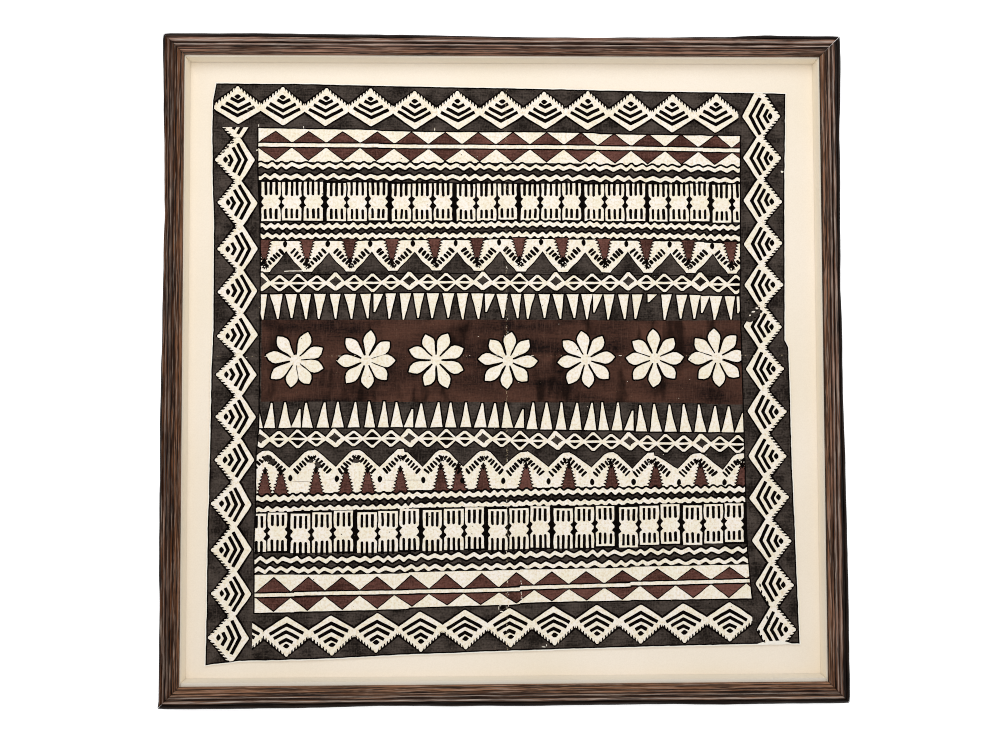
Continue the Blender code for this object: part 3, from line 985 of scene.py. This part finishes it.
def card_material(name, base, shade, grain_size):
    """Uncoated mat board: smooth paper face with a faint tooth and slow changes of tone."""
    made, tree, shader, place = new_material(name)
    slow = add(tree, "TexNoise", {"Vector": place, "Scale": 0.006, "Detail": 2.0}).outputs[0]
    tooth = add(tree, "TexNoise", {"Vector": place, "Scale": grain_size, "Detail": 4.0}).outputs[0]
    colour = stained(tree, linear(base), (slow, 0.3, 0.7, 0.0, 1.0, shade), (tooth, 0.3, 0.7, 0.0, 0.12, "#cdbb9c"))
    bump = add(tree, "Bump", {"Strength": 0.3, "Distance": 0.0001, "Height": tooth}).outputs[0]
    fill(tree, shader, {"Base Color": colour, "Normal": bump, "Roughness": 0.82, "IOR": 1.5})
    return made


# The darkest and the lightest brown of each rail: the stain, made lighter or darker rail by rail as painted light and
# shade
RAIL_STAIN_AND_LIGHT = {
    "left": ("#3f200d", "#6b4228"), "right": ("#5b3824", "#8d6551"),
    "top": ("#6c4a39", "#9c7664"), "bottom": ("#613f2c", "#966f56"),
}
# How much lighter the slope next to each rail's opening is: lighter stain, with painted light, most on the bottom rail
SLOPE_STAIN_AND_LIGHT = {"left": 0.4, "right": 0.5, "top": 0.3, "bottom": 1.0}
# How far in the beads lie as seen from above, and how much their crests are drawn pale: painted highlight, with some
# wear from rubbing
BEADS_IN = {"left": 2.0, "right": 4.3, "top": 3.4, "bottom": 2.6}
CREST_HIGHLIGHT_SHARE = {"left": 0.25, "right": 0.5, "top": 0.85, "bottom": 0.95}
# How far in the outer edge is drawn near black: dark stain, with painted shade reaching furthest on the right and
# bottom rails
DARK_EDGE_AND_SHADE = {"left": 3.4, "right": 7.9, "top": 4.6, "bottom": 6.5}
# The quirks between the beads and their half width, and the crests, in from where the beads begin
QUIRKS = ((7.5, 0.6), (11.2, 0.55), (13.7, 0.4), (17.4, 0.4))
CRESTS = (5.6, 9.25)
# Each rail's outer edge: the axis across the rail, the edge's place on it, and which way is in
OUTER_EDGE = {"top": (1, 335, -1), "bottom": (1, -335, 1), "left": (0, -341.5, 1), "right": (0, 341.5, -1)}
# The lengths and strips that a rail is cut into, in metres, and how many millimetres in from its edge it is worn
RAIL_LENGTHS = 0.007
RAIL_STRIPS = 0.0009
WORN_IN = 13.5
# How far each rail's outer edge is scraped in, along the rail: (place, depth), a negative depth is proud
RAIL_BOW = {
    "left": ((-316, 0.8), (-237, 1.3), (-159, 0.2), (-1, 0.4), (78, 1.7), (157, 2.9), (235, 1.3), (314, -0.8)),
    "right": (
        (-316, -0.8), (-159, -0.5), (-80, 0.7), (0, 2.2), (117, 2.6), (196, 1.3), (235, 2.0), (275, 0.0), (314, -0.6),
    ),
    "top": ((-240, -0.8), (-204, -0.2), (-86, 0.0), (-7, 1.7), (32, 2.2), (151, 1.8), (229, 1.0), (269, -0.8)),
    "bottom": ((-322, -0.8), (-204, -0.8), (-126, 0.7), (0, -0.4), (100, -0.2), (229, -0.8), (308, -0.5)),
}


def wood_material(name, side, seed):
    """Moulding scraped by hand and stained near black-brown: open dark grain, pale waxed streaks on the high fibres
    drawn partly as painted highlight, and painted light and shade that differ from rail to rail.
    """
    made, tree, shader, place = new_material(name)
    level_rail = side in ("top", "bottom")
    start = add(tree, "VectorMath", {0: place, 1: (seed, seed * 1.7, 0)}, operation="ADD").outputs[0]
    # Streaks along the rail, each kind so many millimetres long and wide; the pores are drawn coarse to show
    streaks = []
    for long, wide, detail, wander in ((75, 1.2, 5, 0.25), (30, 0.8, 4, 0.2), (36, 0.8, 3, 0.15), (60, 7, 3, 0)):
        size = (1 / long, 1 / wide, 1 / wide) if level_rail else (1 / wide, 1 / long, 1 / wide)
        drawn = add(tree, "VectorMath", {0: start, 1: size}, operation="MULTIPLY").outputs[0]
        values = {"Vector": drawn, "Scale": 1.0, "Detail": detail, "Roughness": 0.6, "Distortion": wander}
        streaks.append(add(tree, "TexNoise", values).outputs[0])
    grain, wax_and_sheen, pore, tint = streaks
    # How far in from the rail's outer edge
    axis, edge, inward = OUTER_EDGE[side]
    apart = add(tree, "SeparateXYZ", {0: place}).outputs[axis]
    inset = add(tree, "Math", {0: apart, 1: edge}, operation="SUBTRACT").outputs[0]
    inset = add(tree, "Math", {0: inset, 1: inward}, operation="MULTIPLY").outputs[0]
    # Each rail's browns carry painted light and shade as well as its stain
    dark, light = RAIL_STAIN_AND_LIGHT[side]
    # The slope next to the opening is drawn lighter: it took less stain, and carries painted light
    colour = stained(
        tree, linear(dark),
        (tint, 0.38, 0.62, 0.0, 1.0, light), (inset, 13.0, 18.5, 0.0, SLOPE_STAIN_AND_LIGHT[side], "#976c50"),
        # Pale waxed streaks on the high fibres, drawn partly as painted highlight
        (grain, 0.42, 0.53, 0.8, 0.0, "#1a0c06"), (wax_and_sheen, 0.52, 0.66, 0.0, 0.65, "#b09a8a"),
        (pore, 0.54, 0.61, 0.0, 0.85, "#0a0504"),
    )
    # The quirks between the beads are drawn near black. The outer edge is drawn darker still: dark stain with painted
    # shade, most of all low and right
    bend = add(tree, "Math", {0: tint, 1: 2.4, 2: inset}, operation="MULTIPLY_ADD").outputs[0]
    for quirk, wide in QUIRKS:
        away = away_from(tree, bend, quirk + BEADS_IN[side])
        colour = stained(tree, colour, (away, wide * 0.6, wide * 1.7, 0.8, 0.0, "#0b0605"))
    # The crests of the beads are drawn pale in places: painted highlight, with some wear from rubbing
    rubbed = add(tree, "MapRange", {0: wax_and_sheen, 1: 0.38, 2: 0.58, 3: 0.1, 4: CREST_HIGHLIGHT_SHARE[side]}).outputs[0]
    for crest in CRESTS:
        away = away_from(tree, bend, crest + BEADS_IN[side])
        colour = stained(tree, colour, (away, 0.25, 0.95, rubbed, 0.0, "#b9aa9f"))
    # Painted shade along the outer edge, widest on the right and bottom rails
    colour = stained(tree, colour, (bend, DARK_EDGE_AND_SHADE[side], DARK_EDGE_AND_SHADE[side] + 1.2, 0.93, 0.0, "#090605"))
    height = add(tree, "Math", {0: grain, 1: pore}, operation="SUBTRACT").outputs[0]
    bump = add(tree, "Bump", {"Strength": 0.7, "Distance": 0.0006, "Height": height}).outputs[0]
    rough = add(tree, "MapRange", {0: wax_and_sheen, 1: 0.4, 2: 0.65, 3: 0.6, 4: 0.42}).outputs[0]
    fill(tree, shader, {"Base Color": colour, "Normal": bump, "Roughness": rough, "Specular IOR Level": 0.08})
    return made


def dress(piece, material):
    piece.data.materials.clear()
    piece.data.materials.append(material)


def build_cloth():
    paint_everything()
    flat, height, dyes, whole = make_cloth()
    sheet = closed_sheet("bark_sheet", flat, height, whole)
    dress(sheet, bark_material())
    finishes = {
        CHARCOAL: ("charcoal_ground", dye_material("soot_dye_thin", "#1d1815", "#4e453f", "#5d534b", 0.6)),
        INK: ("soot_lines", dye_material("soot_dye_thick", "#030101", "#0d0907", "#1a1410", 0.35)),
        BROWN: ("brown_leaves", dye_material("bark_dye_brown", "#3d251f", "#724b42", "#7a5850", 0.45, (0.016, 0.024))),
        GROUND: ("flower_ground", dye_material(
            "bark_dye_dark", "#1b1312", "#573a2f", "#654a3f", 0.5, (0.012, 0.04), "#0b0706",
        )),
        # Bare fibre at the torn edge and under the lower right corner, drawn whiter than the bark: bare fibre with a
        # painted highlight along the edge
        FRAYED: ("frayed_edge", dye_material("bare_edge_fibre_highlight", "#f1ebde", "#fdf8ee", "#fffaf2", 0.15)),
    }
    layers = []
    for dye, (name, material) in finishes.items():
        piece = make_mesh(name, *cut_face(flat, height, dyes[dye], CLOTH_THICKNESS + PAINT_LIFT))
        dress(piece, material)
        layers.append(piece)
    for piece in [sheet, *layers]:
        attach(piece, BODY)
        for face in piece.data.polygons:
            face.use_smooth = True
    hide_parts("tapa_cloth")


def scraped_rail(side):
    """A rail of the moulding, cut into short lengths and strips and worn into the shallow waves of hand scraping."""
    bpy.ops.object.select_all(action="DESELECT")
    piece = bpy.data.objects.new("scraped_rail_" + side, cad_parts["frame_rail_" + side].data.copy())
    bpy.context.collection.objects.link(piece)
    piece.select_set(True)
    bpy.context.view_layer.objects.active = piece
    low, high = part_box("frame_rail_" + side)
    length_axis = 0 if side in ("top", "bottom") else 1
    bpy.ops.object.mode_set(mode="EDIT")
    bpy.ops.mesh.select_all(action="SELECT")
    bpy.ops.mesh.remove_doubles(threshold=1e-6)
    for axis, step in ((length_axis, RAIL_LENGTHS), (1 - length_axis, RAIL_STRIPS)):
        normal = (1, 0, 0) if axis == 0 else (0, 1, 0)
        count = round((high[axis] - low[axis]) / step)
        for i in range(1, count):
            at = low[axis] + (high[axis] - low[axis]) * i / count
            bpy.ops.mesh.select_all(action="SELECT")
            bpy.ops.mesh.bisect(plane_co=tuple(at * n for n in normal), plane_no=normal)
    bpy.ops.object.mode_set(mode="OBJECT")
    outward = 1 if side in ("top", "right") else -1
    outer = (high if outward > 0 else low)[1 - length_axis]
    half = (high[length_axis] - low[length_axis]) / 2
    middle = (high[length_axis] + low[length_axis]) / 2
    seed = {"top": 3, "bottom": 17, "left": 29, "right": 41}[side]
    faces_up = [vertex.normal.z > 0.05 for vertex in piece.data.vertices]
    for vertex, up in zip(piece.data.vertices, faces_up):
        inset = abs(outer - vertex.co[1 - length_axis]) / MM
        along = (vertex.co[length_axis] - middle) / MM
        height = vertex.co.z / MM
        to_mitre = half / MM - inset - abs(along)
        held = max(0.0, min(1.0, to_mitre / 5, (height - 1) / 6))
        if up and height > 20:
            groove = noise.noise(Vector((along / 32, inset / 1.7, seed)))
            wide = noise.noise(Vector((along / 60, inset / 5, seed + 5)))
            vertex.co.z += (0.5 * groove + 0.5 * wide - 0.1) * held * MM
        if inset < WORN_IN:
            waver = noise.noise(Vector((along / 48, seed + 9.5, 1.0)))
            waver += 0.4 * noise.noise(Vector((along / 15, seed + 2.5, 4.0)))
            shift = 0.6 * waver - read_edge(RAIL_BOW[side], along)
            vertex.co[1 - length_axis] += outward * shift * held * (1 - inset / 14) * MM
    bpy.ops.object.shade_smooth_by_angle(angle=math.radians(38))
    dress(piece, wood_material("scraped_stained_wood_" + side, side, seed * 10.0))
    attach(piece, BODY)
    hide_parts("frame_rail_" + side)


def finish_cad_nodes():
    card = card_material("cream_mat_board", "#fbf0e1", "#f6ead6", 0.8)
    wall = card_material("cream_card_wall", "#f8eedd", "#f3e8d3", 0.8)
    # The lower wall's card is drawn greyer than the others: painted shade
    shaded_wall = card_material("painted_shade_card_wall", "#ece4d5", "#e6ddcd", 0.8)
    hardboard = card_material("brown_hardboard", "#6b4a2f", "#5d3f27", 0.5)
    for name, material in {
        "mount_board": card, "spacer_left": wall, "spacer_right": wall, "spacer_top": wall,
        "spacer_bottom": shaded_wall, "backing_board": hardboard,
    }.items():
        dress(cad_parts[name], material)


def make_stage():
    bpy.ops.object.select_all(action="DESELECT")
    bpy.ops.mesh.primitive_plane_add(size=8, location=(0, 0, -0.0005))
    floor = bpy.context.object
    floor.name = "floor"
    made, tree, shader, _ = new_material("white_studio_floor")
    # A floor lit from within, as a light table is, so that it stays white all over
    fill(tree, shader, {
        "Base Color": linear("#fefefe"), "Roughness": 0.9, "Specular IOR Level": 0.2,
        "Emission Color": (1.0, 1.0, 1.0, 1.0), "Emission Strength": 0.5,
    })
    dress(floor, made)
    world = bpy.data.worlds.new("studio")
    bpy.context.scene.world = world
    world.use_nodes = True
    world.node_tree.nodes["Background"].inputs[0].default_value = (1.0, 1.0, 1.0, 1.0)
    world.node_tree.nodes["Background"].inputs[1].default_value = 0.69
    light = bpy.data.lights.new("key", "AREA")
    light.size = 1.0
    light.energy = 6.1
    lamp = bpy.data.objects.new("key", light)
    bpy.context.collection.objects.link(lamp)
    lamp.location = (-0.07, 0.56, 1.0)
    lamp.rotation_euler = (-lamp.location).to_track_quat("-Z", "Y").to_euler()


def make_camera():
    data = bpy.data.cameras.new("camera")
    data.sensor_fit = "HORIZONTAL"
    data.sensor_width = 36
    data.lens = 30.6
    data.clip_start = 0.01
    data.clip_end = 20
    camera = bpy.data.objects.new("camera", data)
    bpy.context.collection.objects.link(camera)
    camera.location = (-0.0190, -0.0339, 0.8734)
    camera.rotation_euler = (0.02995, -0.01666, -0.00274)
    bpy.context.scene.camera = camera
    bpy.context.scene.view_settings.view_transform = "Standard"
    bpy.context.scene.cycles.filter_width = 1.0


make_camera()
build_cloth()
for rail_side in ("top", "bottom", "left", "right"):
    scraped_rail(rail_side)
finish_cad_nodes()
make_stage()
